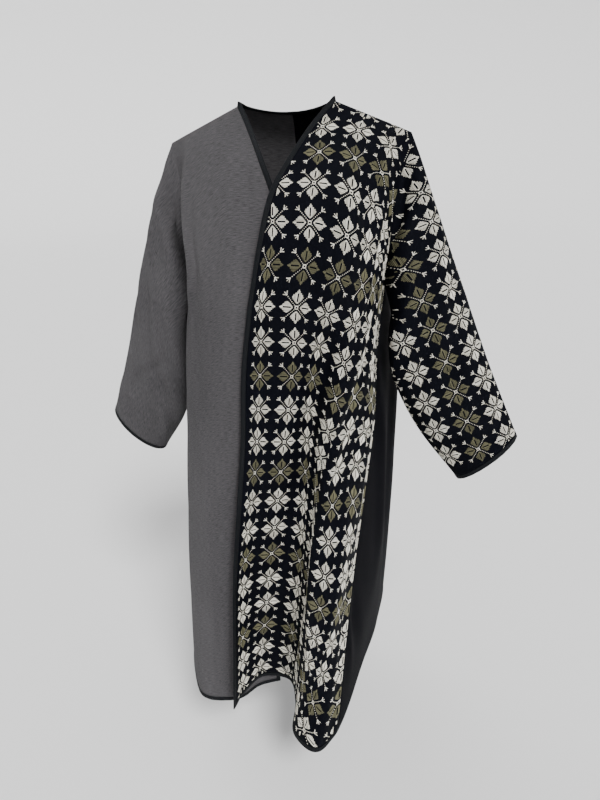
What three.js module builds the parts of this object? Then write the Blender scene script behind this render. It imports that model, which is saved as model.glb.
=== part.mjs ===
// Open-front abaya, cut like a kimono: each front and each back carries its half of the sleeve.
// It hangs as it is worn, hollow, with its high shoulder points level at z = 0.
// Millimetres, +Z up, front towards -Y, wearer's left towards +X.
import * as THREE from 'three';

// ---- cloth ----
const CLOTH = 1.6;          // wall of the four big panels
const BINDING_WALL = 2.8;   // folded tape that closes every raw edge
const BINDING_WIDTH = 9;
const SEAM_GAP = 0.3;
const ON_SEAM = 0.01;       // points this close to y = 0 at the top lie on the shoulder seam

// ---- how finely the cloth is divided ----
const STEPS_PER_STATION = 3;
const YOKE_ROWS = 9;        // shoulder seam down to the chest
const SKIRT_ROWS = 15;      // chest down to the hem
const SLEEVE_STEPS = 11;    // armhole out to the cuff

// ---- shoulders and neck, cloth edge under the binding ----
const SHOULDER_POINT = new THREE.Vector3(94, 0, -4);
const SHOULDER_TIP = new THREE.Vector3(234, 0, -62);
const BACK_NECK = new THREE.Vector3(0, 56, -20);
// Edge of each front from the shoulder to the chest; the left front lies over the right one.
const NECK_LEFT = [
  { down: 0.17, x: 57, y: -50, z: -50 },
  { down: 0.41, x: 24, y: -128, z: -110 },
  { down: 0.55, x: 7, y: -168, z: -150 },
  { down: 0.74, x: -9, y: -201, z: -222 },
];
const NECK_RIGHT = [
  { down: 0.13, x: -70, y: -40, z: -36 },
  { down: 0.38, x: -26, y: -120, z: -101 },
  { down: 0.56, x: 0, y: -154, z: -158 },
  { down: 0.75, x: 12, y: -184, z: -228 },
];
const SHOULDER_ROUND = 120;   // how far the cloth lies flat over the shoulder before it falls

// ---- body sections from the chest to the hem ----
// Each front runs from its edge to the side seam, each back from the side seam to the centre back.
// `at` gives x, y at each of the heights below, and `dip` how far the hem hangs below the last one.
const HEIGHTS = [-330, -450, -600, -900, -1196];
const CLOTH_DOWN = [391, 515, 667, 970, 1270];
const LEFT_FRONT = [
  { name: 'edge', dip: 4, at: [[-29, -229], [-47, -240], [-57, -258], [-86, -314], [-104, -348]] },
  { name: 'nearEdge', dip: 2, at: [[-5, -235], [-14, -243], [-30, -258], [-74, -290], [-96, -316]] },
  { name: 'valley', dip: -4, at: [[62, -238], [47, -240], [25, -250], [-20, -256], [-62, -268]] },
  { name: 'foldFoot', dip: -4, at: [[122, -224], [84, -204], [62, -208], [40, -262], [2, -268]] },
  { name: 'foldRise', dip: 4, at: [[163, -184], [136, -236], [108, -262], [70, -334], [27, -320]] },
  { name: 'ridge', dip: 14, at: [[178, -140], [163, -182], [140, -208], [120, -342], [36, -384]] },
  { name: 'ridgeSide', dip: 16, at: [[188, -92], [176, -128], [172, -156], [137, -285], [84, -414]] },
  { name: 'seam', dip: 8, at: [[192, -50], [182, -95], [179, -125], [147, -235], [112, -352]] },
];
const LEFT_BACK = [
  { name: 'sideFront', dip: 0, at: [[204, 0], [204, -36], [207, -56], [192, -120], [160, -200]] },
  { name: 'side', dip: 0, at: [[200, 48], [214, 18], [218, 8], [208, -10], [184, -50]] },
  { name: 'sideBack', dip: 0, at: [[160, 84], [190, 76], [198, 74], [198, 72], [185, 88]] },
  { name: 'backQuarter', dip: 0, at: [[85, 98], [108, 106], [112, 112], [108, 118], [94, 140]] },
  { name: 'centreBack', dip: 0, at: [[0, 96], [0, 104], [-3, 110], [-10, 124], [-20, 136]] },
];
const RIGHT_FRONT = [
  { name: 'edge', dip: 30, at: [[20, -214], [4, -224], [-12, -234], [-24, -240], [-36, -248]] },
  { name: 'nearEdge', dip: 30, at: [[-24, -215], [-40, -226], [-50, -238], [-60, -258], [-74, -268]] },
  { name: 'frontFold', dip: 24, at: [[-70, -224], [-88, -236], [-95, -248], [-94, -284], [-100, -306]] },
  { name: 'foldRise', dip: 18, at: [[-115, -213], [-130, -220], [-138, -238], [-140, -290], [-128, -324]] },
  { name: 'ridge', dip: 14, at: [[-150, -188], [-165, -190], [-176, -208], [-184, -272], [-176, -330]] },
  { name: 'ridgeSide', dip: 12, at: [[-176, -150], [-192, -155], [-206, -166], [-222, -222], [-206, -308]] },
  { name: 'sideFront', dip: 6, at: [[-190, -100], [-210, -108], [-228, -112], [-246, -160], [-244, -232]] },
  { name: 'seam', dip: 0, at: [[-194, -55], [-220, -60], [-238, -60], [-262, -95], [-266, -150]] },
];
const RIGHT_BACK = [
  { name: 'side', dip: 0, at: [[-204, 0], [-226, 0], [-244, 2], [-268, -20], [-276, -50]] },
  { name: 'sideBack', dip: 0, at: [[-196, 50], [-212, 56], [-224, 64], [-252, 62], [-262, 70]] },
  { name: 'backFlank', dip: 0, at: [[-152, 85], [-160, 96], [-164, 104], [-190, 112], [-196, 134]] },
  { name: 'backQuarter', dip: 0, at: [[-82, 98], [-88, 106], [-92, 112], [-110, 122], [-116, 134]] },
  { name: 'centreBack', dip: 0, at: [[0, 96], [0, 104], [-3, 110], [-10, 124], [-20, 136]] },
];

// ---- armhole lines, from the shoulder tip to the underarm point ----
const ARMHOLE_FRONT = [
  { down: 0.3, x: 216, y: -22, z: -135 },
  { down: 0.6, x: 204, y: -42, z: -215 },
  { down: 0.85, x: 196, y: -50, z: -286 },
];
const ARMHOLE_BACK = [
  { down: 0.3, x: 214, y: 38, z: -135 },
  { down: 0.6, x: 206, y: 34, z: -215 },
  { down: 0.85, x: 198, y: -10, z: -290 },
];
const DRAPE_FOLD = { station: 5.1, width: 1.1, depth: 20 };   // the front's fold before the armhole

// ---- sleeve sections: overarm seam, underarm seam, and how far each half stands out ----
const SLEEVE_LEFT = [
  { out: 0, over: [234, 0, -62], under: [192, -50, -330], front: 0, back: 0 },
  { out: 0.15, over: [256, -12, -115], under: [208, -82, -385], front: 28, back: 16 },
  { out: 0.3, over: [292, -16, -215], under: [206, -106, -440], front: 45, back: 24 },
  { out: 0.5, over: [337, -20, -332], under: [218, -96, -520], front: 50, back: 36 },
  { out: 0.75, over: [400, -28, -492], under: [270, -66, -640], front: 46, back: 43 },
  { out: 1, over: [470, -38, -652], under: [352, -45, -758], front: 44, back: 42 },
];
const SLEEVE_RIGHT = [
  { out: 0, over: [234, 0, -62], under: [194, -55, -330], front: 0, back: 0 },
  { out: 0.15, over: [256, -12, -115], under: [224, -74, -385], front: 28, back: 16 },
  { out: 0.3, over: [292, -7, -215], under: [238, -84, -440], front: 45, back: 26 },
  { out: 0.5, over: [337, 0, -332], under: [250, -70, -520], front: 50, back: 36 },
  { out: 0.75, over: [400, 8, -492], under: [282, -26, -640], front: 46, back: 40 },
  { out: 1, over: [470, 18, -652], under: [352, 11, -758], front: 44, back: 42 },
];
const SLEEVE_FOLDS = [        // soft troughs that run out and down from the shoulder tip
  { facing: -1, start: 0.12, turn: 1.5, width: 0.15, depth: 9 },
  { facing: -1, start: -0.35, turn: 1.15, width: 0.12, depth: 6 },
  { facing: 1, start: 0.2, turn: 1.3, width: 0.15, depth: 9 },
];
const BACK_FLUTES = { depth: 11, stations: 2.1 };   // waves across the back at the hem

const FRONT = -1;
const BACK = 1;
const LEFT = 1;
const RIGHT = -1;

// A smooth curve through values at uneven knots.
function through(knots, values) {
  const last = knots.length - 1;
  const slopes = knots.map((_, i) => {
    const before = Math.max(i - 1, 0);
    const after = Math.min(i + 1, last);
    return (values[after] - values[before]) / (knots[after] - knots[before]);
  });
  return (x) => {
    let i = 0;
    while (i < last - 1 && x > knots[i + 1]) i += 1;
    const span = knots[i + 1] - knots[i];
    const s = (x - knots[i]) / span;
    return hermite(values[i], values[i + 1], slopes[i] * span, slopes[i + 1] * span, s);
  };
}

function hermite(from, to, leave, arrive, s) {
  const s2 = s * s;
  const s3 = s2 * s;
  return (2 * s3 - 3 * s2 + 1) * from + (3 * s2 - 2 * s3) * to + (s3 - 2 * s2 + s) * leave + (s3 - s2) * arrive;
}

function pathThrough(knots, points) {
  const axes = ['x', 'y', 'z'].map((axis) => through(knots, points.map((point) => point[axis])));
  return (t) => new THREE.Vector3(axes[0](t), axes[1](t), axes[2](t));
}

// A border runs from its start through the rows of its table to its end.
function borderLine(start, rows, end) {
  return pathThrough([0, ...rows.map((row) => row.down), 1], [start, ...rows, end]);
}

// ---- one half of the body: stations run edge, side seam, centre back ----
function makeHalf({ side, front: frontStations, back: backStations, neck, sleeve: sleeveRows }) {
  const stations = [...frontStations, ...backStations];
  const order = stations.map((_, i) => i);
  const columns = stations.map(({ at, dip }) => ({
    x: through(CLOTH_DOWN, at.map(([x]) => x)),
    y: through(CLOTH_DOWN, at.map(([, y]) => y)),
    dip,
  }));
  const height = through(CLOTH_DOWN, HEIGHTS);
  const chest = CLOTH_DOWN[0];
  const hem = CLOTH_DOWN.at(-1);
  const seam = frontStations.length - 1;
  const centre = stations.length - 1;

  const skirt = (station, down) => {
    const fall = Math.max(0, (down - chest) / (hem - chest)) ** 2;
    const x = through(order, columns.map((column) => column.x(down)))(station);
    const y = through(order, columns.map((column) => column.y(down)))(station);
    const dip = through(order, columns.map((column) => column.dip))(station);
    const flute = Math.cos(2 * Math.PI * (centre - station) / BACK_FLUTES.stations);
    const behind = Math.min(1, Math.max(0, (station - seam - 1) / 1.5));
    return new THREE.Vector3(x, y + BACK_FLUTES.depth * fall * behind * flute, height(down) - dip * fall);
  };

  // The shoulder seam, and behind it the back neck, as the cloth's upper edge.
  const mirror = (point) => new THREE.Vector3(side * point.x, point.y, point.z);
  const mirrorRow = (row) => ({ ...row, x: side * row.x });
  const flatWidth = (station) => station / seam;
  const neckShare = 0.42;
  const upperEdge = (station) => {
    if (station <= seam) {
      return mirror(SHOULDER_POINT.clone().lerp(SHOULDER_TIP, flatWidth(station)));
    }
    const share = (station - seam) / (centre - seam);
    if (share < 1 - neckShare) {
      return mirror(SHOULDER_TIP.clone().lerp(SHOULDER_POINT, share / (1 - neckShare)));
    }
    const angle = (share - 1 + neckShare) / neckShare * Math.PI / 2;
    return mirror(new THREE.Vector3(
      SHOULDER_POINT.x * Math.cos(angle),
      BACK_NECK.y * Math.sin(angle),
      SHOULDER_POINT.z + (BACK_NECK.z - SHOULDER_POINT.z) * Math.sin(angle) ** 2,
    ));
  };

  // The yoke: cloth lying over the shoulder, then falling to the chest.
  const rawYoke = (station, down, facing) => {
    const above = upperEdge(station);
    const below = skirt(station, chest);
    const step = 10;
    const leaving = new THREE.Vector3(0, facing * SHOULDER_ROUND, -0.25 * SHOULDER_ROUND);
    const arriving = skirt(station, chest + step).sub(below).multiplyScalar(chest / step);
    const s = down / chest;
    return new THREE.Vector3(
      hermite(above.x, below.x, leaving.x, arriving.x, s),
      hermite(above.y, below.y, leaving.y, arriving.y, s),
      hermite(above.z, below.z, leaving.z, arriving.z, s),
    );
  };
  const borders = {
    neck: borderLine(mirror(SHOULDER_POINT), neck, skirt(0, chest)),
    front: borderLine(mirror(SHOULDER_TIP), ARMHOLE_FRONT.map(mirrorRow), skirt(seam, chest)),
    back: borderLine(mirror(SHOULDER_TIP), ARMHOLE_BACK.map(mirrorRow), skirt(seam, chest)),
  };

  const yoke = (station, down, facing) => {
    const s = down / chest;
    const point = rawYoke(station, down, facing);
    if (facing === FRONT) {
      const across = station / seam;
      const neckPull = borders.neck(s).sub(rawYoke(0, down, facing));
      const armPull = borders.front(s).sub(rawYoke(seam, down, facing));
      point.addScaledVector(neckPull, (1 - across) ** 2).addScaledVector(armPull, across ** 4);
      const offRidge = (station - DRAPE_FOLD.station) / DRAPE_FOLD.width;
      point.y -= DRAPE_FOLD.depth * Math.exp(-offRidge * offRidge) * Math.sin(Math.PI * s) ** 0.7;
      return point;
    }
    const across = (station - seam) / (centre - seam);
    const armPull = borders.back(s).sub(rawYoke(seam, down, facing));
    return point.addScaledVector(armPull, (1 - across) ** 4);
  };

  const body = (station, down, facing) => (
    down < chest ? yoke(station, down, facing) : skirt(station, down)
  );

  // The sleeve: half rings from the overarm seam round to the underarm seam.
  const outs = sleeveRows.map((row) => row.out);
  const seamPath = (key) => pathThrough(outs, sleeveRows.map(({ [key]: [x, y, z] }) => (
    new THREE.Vector3(side * x, y, z)
  )));
  const over = seamPath('over');
  const under = seamPath('under');
  const reach = {
    [FRONT]: through(outs, sleeveRows.map((row) => row.front)),
    [BACK]: through(outs, sleeveRows.map((row) => row.back)),
  };
  const sleeveRing = (round, out, facing) => {
    const top = over(out);
    const bottom = under(out);
    const ahead = over(Math.min(out + 0.05, 1)).sub(over(Math.max(out - 0.05, 0)));
    const normal = new THREE.Vector3().crossVectors(ahead, top.clone().sub(bottom)).normalize();
    const folds = SLEEVE_FOLDS.filter((fold) => fold.facing === facing).reduce((sum, fold) => {
      const off = (round - fold.start - fold.turn * out) / fold.width;
      return sum + fold.depth * Math.exp(-off * off) * Math.sin(Math.PI * out ** 0.6);
    }, 0);
    const stand = reach[facing](out) * Math.sin(Math.PI * round) - folds * Math.sin(Math.PI * round);
    normal.multiplyScalar(Math.sign(normal.y) * facing * stand);
    return top.lerp(bottom, (1 - Math.cos(Math.PI * round)) / 2).add(normal);
  };
  const sleeve = (round, out, facing) => {
    const armhole = yoke(seam, round * chest, facing);
    const pull = armhole.sub(sleeveRing(round, 0, facing));
    return sleeveRing(round, out, facing).addScaledVector(pull, (1 - out) ** 6);
  };

  return { side, seam, centre, chest, hem, body, sleeve };
}

// ---- a panel as a net of points ----
// Body points are net.body[column][row], sleeve points net.sleeve[step][row of the yoke].
function steps(from, to, count) {
  return Array.from({ length: count + 1 }, (_, i) => from + (to - from) * i / count);
}

function panelNet(half, facing) {
  const { seam, centre, chest, hem } = half;
  const toSeam = facing === FRONT;
  const stations = toSeam
    ? steps(0, seam, seam * STEPS_PER_STATION)
    : steps(centre, seam, (centre - seam) * STEPS_PER_STATION);
  const downs = [...steps(0, chest, YOKE_ROWS), ...steps(chest, hem, SKIRT_ROWS).slice(1)];
  const body = stations.map((station) => downs.map((down) => half.body(station, down, facing)));
  const sleeve = steps(0, 1, SLEEVE_STEPS).map((out) => (
    downs.slice(0, YOKE_ROWS + 1).map((down) => half.sleeve(down / chest, out, facing))
  ));
  sleeve[0] = body.at(-1).slice(0, YOKE_ROWS + 1);
  return { body, sleeve };
}

// Moves a line of points squarely aside, towards the points inside it, by half a seam's gap.
function insetLine(line, inners, normals) {
  const moved = line.map((point, i) => {
    const before = line[Math.max(i - 1, 0)];
    const after = line[Math.min(i + 1, line.length - 1)];
    const aside = after.clone().sub(before).cross(normals.get(point)).setLength(SEAM_GAP / 2);
    const inward = inners[i].clone().sub(point);
    return point.clone().addScaledVector(aside, Math.sign(aside.dot(inward)));
  });
  line.forEach((point, i) => point.copy(moved[i]));
}

// Moves the seam edges of a net inward, so that seams keep their gap.
function insetSeams({ body, sleeve }, facing, normals) {
  const shoulder = body.filter((column) => Math.abs(column[0].y) < ON_SEAM);
  const rings = sleeve.slice(1);
  insetLine([...shoulder, ...rings].map((row) => row[0]), [...shoulder, ...rings].map((row) => row[1]), normals);
  const towardsBody = [...rings].reverse();
  const insideUnderarm = body.at(-2)[YOKE_ROWS + 1].clone().lerp(sleeve[1][YOKE_ROWS - 1], 0.5);
  insetLine(
    [...towardsBody.map((ring) => ring[YOKE_ROWS]), ...body.at(-1).slice(YOKE_ROWS)],
    [...towardsBody.map((ring) => ring[YOKE_ROWS - 1]), insideUnderarm, ...body.at(-2).slice(YOKE_ROWS + 1)],
    normals,
  );
  if (facing === BACK) insetLine(body[0], body[1], normals);
}

// Joins the two nets of a panel into one list of points and triangles.
function sheetOf({ body, sleeve }, flip) {
  const points = [];
  const indexOf = new Map();
  const indexFor = (point) => {
    if (!indexOf.has(point)) {
      indexOf.set(point, points.length);
      points.push(point);
    }
    return indexOf.get(point);
  };
  const triangles = [];
  const addGrid = (grid) => {
    for (let i = 0; i + 1 < grid.length; i += 1) {
      for (let j = 0; j + 1 < grid[i].length; j += 1) {
        const corners = [grid[i][j], grid[i + 1][j], grid[i + 1][j + 1], grid[i][j + 1]].map(indexFor);
        const [a, b, c, d] = flip ? corners.reverse() : corners;
        triangles.push([a, b, c], [a, c, d]);
      }
    }
  };
  addGrid(body);
  addGrid(sleeve);
  return { points, triangles };
}

// The cloth's direction outward at each point of a sheet.
function normalsOf({ points, triangles }) {
  const normals = new Map(points.map((point) => [point, new THREE.Vector3()]));
  for (const [a, b, c] of triangles) {
    const edge = points[b].clone().sub(points[a]);
    const face = edge.cross(points[c].clone().sub(points[a])).normalize();
    [a, b, c].forEach((index) => normals.get(points[index]).add(face));
  }
  normals.forEach((normal) => normal.normalize());
  return normals;
}

// Where two panels meet, both take the same outward direction, so that their edges face each other.
function shareNormals(normals, pairs) {
  for (const [one, other] of pairs) {
    const shared = normals.get(one).clone().add(normals.get(other)).normalize();
    normals.get(one).copy(shared);
    normals.get(other).copy(shared);
  }
}

// Gives a sheet its wall: an outer skin, an inner skin and a rim between them.
function thicken({ points, triangles }, normals, wall) {
  const skin = (way) => points.map((point) => point.clone().addScaledVector(normals.get(point), way * wall / 2));
  const vertices = [...skin(1), ...skin(-1)];
  const count = points.length;
  const faces = [];
  const edges = new Map();
  for (const [a, b, c] of triangles) {
    faces.push([a, b, c], [a + count, c + count, b + count]);
    [[a, b], [b, c], [c, a]].forEach(([from, to]) => {
      if (!edges.delete(`${to},${from}`)) edges.set(`${from},${to}`, [from, to]);
    });
  }
  for (const [from, to] of edges.values()) {
    faces.push([to, from, from + count], [to, from + count, to + count]);
  }
  return geometryOf(vertices, faces);
}

function geometryOf(vertices, faces) {
  const geometry = new THREE.BufferGeometry();
  geometry.setAttribute('position', new THREE.Float32BufferAttribute(vertices.flatMap((v) => v.toArray()), 3));
  geometry.setIndex(faces.flat());
  geometry.computeVertexNormals();
  return geometry;
}

// ---- binding: a tape beyond the cloth's edge ----
// Each entry of `run` is a point on the edge, the next point inside it and, at an end that meets
// another tape, the direction square to that end.
function bindingAlong(run, closed) {
  const sections = run.map(({ edge, inner, square }, i) => {
    const before = run[closed ? (i - 1 + run.length) % run.length : Math.max(i - 1, 0)].edge;
    const after = run[closed ? (i + 1) % run.length : Math.min(i + 1, run.length - 1)].edge;
    const along = (square ?? after.clone().sub(before)).clone().normalize();
    const outward = edge.clone().sub(inner);
    outward.addScaledVector(along, -outward.dot(along)).normalize();
    const normal = new THREE.Vector3().crossVectors(along, outward).normalize();
    const corner = (width, height) => edge.clone()
      .addScaledVector(outward, width).addScaledVector(normal, height * BINDING_WALL / 2);
    return [
      corner(SEAM_GAP, -1), corner(BINDING_WIDTH - 1, -1), corner(BINDING_WIDTH, 0),
      corner(BINDING_WIDTH - 1, 1), corner(SEAM_GAP, 1),
    ];
  });
  const sides = sections[0].length;
  const vertices = sections.flat();
  const faces = [];
  const spans = closed ? sections.length : sections.length - 1;
  for (let i = 0; i < spans; i += 1) {
    const here = i * sides;
    const next = ((i + 1) % sections.length) * sides;
    for (let j = 0; j < sides; j += 1) {
      const k = (j + 1) % sides;
      faces.push([here + j, next + j, next + k], [here + j, next + k, here + k]);
    }
  }
  if (!closed) {
    const end = (sections.length - 1) * sides;
    for (let j = 1; j + 1 < sides; j += 1) {
      faces.push([0, j, j + 1], [end, end + j + 1, end + j]);
    }
  }
  return geometryOf(vertices, faces);
}

function volumeOf(geometry) {
  const position = geometry.getAttribute('position');
  const index = geometry.getIndex();
  const corner = (i) => new THREE.Vector3().fromBufferAttribute(position, index.getX(i));
  let volume = 0;
  for (let i = 0; i < index.count; i += 3) {
    volume += corner(i).dot(corner(i + 1).cross(corner(i + 2))) / 6;
  }
  return volume;
}

// Turns a closed body's faces outward.
function facingOut(geometry) {
  if (volumeOf(geometry) < 0) {
    const index = geometry.getIndex();
    for (let i = 0; i < index.count; i += 3) {
      const second = index.getX(i + 1);
      index.setX(i + 1, index.getX(i + 2));
      index.setX(i + 2, second);
    }
    geometry.computeVertexNormals();
  }
  return geometry;
}

// ---- materials ----
const finish = (color, roughness) => new THREE.MeshStandardMaterial({ color, roughness, metalness: 0 });
const greyTwill = finish('#656364', 0.9);
const embroidered = finish('#101320', 0.85);
const blackCrepe = finish('#1b1b1e', 0.8);
const bindingTape = finish('#1d2023', 0.7);

const group = new THREE.Group();
function addPiece(name, geometry, material) {
  const mesh = new THREE.Mesh(facingOut(geometry), material);
  mesh.name = name;
  group.add(mesh);
}

const halves = {
  left: makeHalf({ side: LEFT, front: LEFT_FRONT, back: LEFT_BACK, neck: NECK_LEFT, sleeve: SLEEVE_LEFT }),
  right: makeHalf({ side: RIGHT, front: RIGHT_FRONT, back: RIGHT_BACK, neck: NECK_RIGHT, sleeve: SLEEVE_RIGHT }),
};
const cloths = {
  left: { front: embroidered, back: blackCrepe },
  right: { front: greyTwill, back: greyTwill },
};

const panels = [];
for (const [side, half] of Object.entries(halves)) {
  for (const [facing, way] of [['front', FRONT], ['back', BACK]]) {
    const net = panelNet(half, way);
    const sheet = sheetOf(net, half.side * way < 0);
    panels.push({ side, facing, way, net, sheet });
  }
}
const normals = new Map(panels.flatMap(({ sheet }) => [...normalsOf(sheet)]));
const netOf = (side, facing) => panels.find((panel) => panel.side === side && panel.facing === facing).net;

for (const side of ['left', 'right']) {
  const front = netOf(side, 'front');
  const back = netOf(side, 'back');
  const way = halves[side].side;
  const alongShoulder = SHOULDER_TIP.clone().sub(SHOULDER_POINT);
  const overShoulder = new THREE.Vector3(-alongShoulder.z * way, 0, alongShoulder.x).normalize();
  const shoulderColumns = (net) => net.body.filter((column) => Math.abs(column[0].y) < ON_SEAM);
  [...shoulderColumns(front), ...shoulderColumns(back)].forEach(([point]) => normals.get(point).copy(overShoulder));
  const rows = front.body[0].length;
  const sideSeam = Array.from({ length: rows - YOKE_ROWS }, (_, i) => (
    [front.body.at(-1)[YOKE_ROWS + i], back.body.at(-1)[YOKE_ROWS + i]]
  ));
  const armSeams = front.sleeve.slice(1).flatMap((ring, i) => (
    [0, YOKE_ROWS].map((row) => [ring[row], back.sleeve[i + 1][row]])
  ));
  shareNormals(normals, [...sideSeam, ...armSeams]);
  const underarm = front.body.at(-1)[YOKE_ROWS];
  const downSide = front.body.at(-1)[YOKE_ROWS + 1].clone().sub(underarm).normalize();
  const outSleeve = front.sleeve[1][YOKE_ROWS].clone().sub(underarm).normalize();
  [underarm, back.body.at(-1)[YOKE_ROWS]].forEach((point) => {
    normals.get(point).addVectors(downSide, outSleeve).normalize();
  });
}
shareNormals(normals, netOf('left', 'back').body[0].map((point, row) => [point, netOf('right', 'back').body[0][row]]));

for (const { side, facing, way, net, sheet } of panels) {
  insetSeams(net, way, normals);
  addPiece(`${facing}_${side}`, thicken(sheet, normals, CLOTH), cloths[side][facing]);
}

for (const side of ['left', 'right']) {
  const front = netOf(side, 'front');
  const back = netOf(side, 'back');
  const entry = (grid, [column, row], [innerColumn, innerRow]) => ({
    edge: grid[column][row], inner: grid[innerColumn][innerRow],
  });
  const rows = front.body[0].length;
  const edgeRun = front.body[0].map((_, row) => entry(front.body, [0, row], [1, row])).reverse();
  const corner = edgeRun[0].edge.clone().sub(edgeRun[1].edge).setLength(SEAM_GAP + BINDING_WIDTH);
  edgeRun.unshift({ edge: edgeRun[0].edge.clone().add(corner), inner: edgeRun[0].inner.clone().add(corner) });
  const neckRun = back.body.map((_, column) => entry(back.body, [column, 0], [column, 1]))
    .filter(({ edge }) => edge.y > 0.5).reverse();
  neckRun.at(-1).square = new THREE.Vector3(-halves[side].side, 0, 0);
  addPiece(`edge_binding_${side}`, bindingAlong([...edgeRun, ...neckRun], false), bindingTape);
  const hemRun = (net) => net.body.map((_, column) => entry(net.body, [column, rows - 1], [column, rows - 2]));
  const hem = [...hemRun(front), ...hemRun(back).reverse().slice(1)];
  const inwards = edgeRun[1].inner.clone().sub(edgeRun[1].edge);
  hem[0].square = inwards.addScaledVector(corner, -inwards.dot(corner) / corner.lengthSq());
  hem.at(-1).square = new THREE.Vector3(-halves[side].side, 0, 0);
  addPiece(`hem_binding_${side}`, bindingAlong(hem, false), bindingTape);
  const ring = (net) => net.sleeve.at(-1).map((edge, row) => ({ edge, inner: net.sleeve.at(-2)[row] }));
  const cuff = [...ring(front), ...ring(back).reverse().slice(1, -1)];
  addPiece(`cuff_binding_${side}`, bindingAlong(cuff, true), bindingTape);
}

export default group;
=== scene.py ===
import math
import bpy
import numpy as np
from mathutils import Matrix


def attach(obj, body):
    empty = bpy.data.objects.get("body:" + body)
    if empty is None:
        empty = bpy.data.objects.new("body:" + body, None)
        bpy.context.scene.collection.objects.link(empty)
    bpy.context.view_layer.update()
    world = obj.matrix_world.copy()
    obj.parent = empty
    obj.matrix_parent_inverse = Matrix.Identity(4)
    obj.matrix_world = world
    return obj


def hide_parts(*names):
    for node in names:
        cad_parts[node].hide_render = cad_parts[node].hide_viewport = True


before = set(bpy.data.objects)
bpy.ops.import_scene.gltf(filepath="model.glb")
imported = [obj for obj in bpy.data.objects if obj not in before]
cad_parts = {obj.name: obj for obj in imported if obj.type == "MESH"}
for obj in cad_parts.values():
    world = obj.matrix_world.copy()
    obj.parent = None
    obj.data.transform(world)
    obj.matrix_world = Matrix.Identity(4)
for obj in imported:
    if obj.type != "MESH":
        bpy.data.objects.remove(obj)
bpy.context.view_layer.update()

MM = 0.001
RNG = np.random.default_rng(7)

# ---- cloth sizes, millimetres ----
SHELL = 1.3            # thickness of the cloth's shell
BINDING_WALL = 2.8
BINDING_WIDTH = 9.3
PUCKER = 0.22          # how far the tape's edge wavers
PUCKER_PITCH, PUCKER_DRIFT = 3.1, 37
FACE_APART = 40        # keeps the tape's two faces apart on the flat
YOKE_ROWS = 56         # shoulder seam to chest
SKIRT_ROWS = 126       # chest to hem
FRONT_STEPS = 14       # columns to a station
BACK_STEPS = 18
SLEEVE_RINGS = 96

# ---- the garment's form ----
# The tables are the solids' own, but for the right sleeve's underarm, which lies up to 10 mm nearer the
# body, and the hem of the left front's last two stations, which reaches up to 13 mm further out.
SHOULDER_POINT = np.array([94.0, 0.0, -4.0])
SHOULDER_TIP = np.array([234.0, 0.0, -62.0])
BACK_NECK = np.array([0.0, 56.0, -20.0])
SHOULDER_ROUND = 120
SHOULDER_FALL = -0.25  # how the cloth leaves the shoulder seam: down, for each part outward
NECK_SHARE = 0.42
CHEST = 391.0
HEM = 1270.0
HEIGHTS = [-330, -450, -600, -900, -1196]
CLOTH_DOWN = [391, 515, 667, 970, 1270]
# down, x, y, z
NECK = {
    "left": [(0.17, 57, -50, -50), (0.41, 24, -128, -110),
             (0.55, 7, -168, -150), (0.74, -9, -201, -222)],
    "right": [(0.13, -70, -40, -36), (0.38, -26, -120, -101),
              (0.56, 0, -154, -158), (0.75, 12, -184, -228)],
}
# hem dip, then x, y at each height
LEFT_FRONT = [
    (4, [(-29, -229), (-47, -240), (-57, -258), (-86, -314), (-104, -348)]),
    (2, [(-5, -235), (-14, -243), (-30, -258), (-74, -290), (-96, -316)]),
    (-4, [(62, -238), (47, -240), (25, -250), (-20, -256), (-62, -268)]),
    (-4, [(122, -224), (84, -204), (62, -208), (40, -262), (2, -268)]),
    (4, [(163, -184), (136, -236), (108, -262), (70, -334), (27, -320)]),
    (14, [(178, -140), (163, -182), (140, -208), (120, -342), (36, -384)]),
    (14, [(188, -92), (176, -128), (172, -156), (137, -285), (88, -416)]),
    (16, [(192, -50), (182, -95), (179, -125), (147, -235), (125, -360)]),
]
LEFT_BACK = [
    (0, [(204, 0), (204, -36), (207, -56), (192, -120), (160, -200)]),
    (0, [(200, 48), (214, 18), (218, 8), (208, -10), (184, -50)]),
    (0, [(160, 84), (190, 76), (198, 74), (198, 72), (185, 88)]),
    (0, [(85, 98), (108, 106), (112, 112), (108, 118), (94, 140)]),
    (0, [(0, 96), (0, 104), (-3, 110), (-10, 124), (-20, 136)]),
]
RIGHT_FRONT = [
    (30, [(20, -214), (4, -224), (-12, -234), (-24, -240), (-36, -248)]),
    (30, [(-24, -215), (-40, -226), (-50, -238), (-60, -258), (-74, -268)]),
    (24, [(-70, -224), (-88, -236), (-95, -248), (-94, -284), (-100, -306)]),
    (18, [(-115, -213), (-130, -220), (-138, -238), (-140, -290), (-128, -324)]),
    (14, [(-150, -188), (-165, -190), (-176, -208), (-184, -272), (-176, -330)]),
    (12, [(-176, -150), (-192, -155), (-206, -166), (-222, -222), (-206, -308)]),
    (6, [(-190, -100), (-210, -108), (-228, -112), (-246, -160), (-244, -232)]),
    (0, [(-194, -55), (-220, -60), (-238, -60), (-262, -95), (-266, -150)]),
]
RIGHT_BACK = [
    (0, [(-204, 0), (-226, 0), (-244, 2), (-268, -20), (-276, -50)]),
    (0, [(-196, 50), (-212, 56), (-224, 64), (-252, 62), (-262, 70)]),
    (0, [(-152, 85), (-160, 96), (-164, 104), (-190, 112), (-196, 134)]),
    (0, [(-82, 98), (-88, 106), (-92, 112), (-110, 122), (-116, 134)]),
    (0, [(0, 96), (0, 104), (-3, 110), (-10, 124), (-20, 136)]),
]
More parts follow.
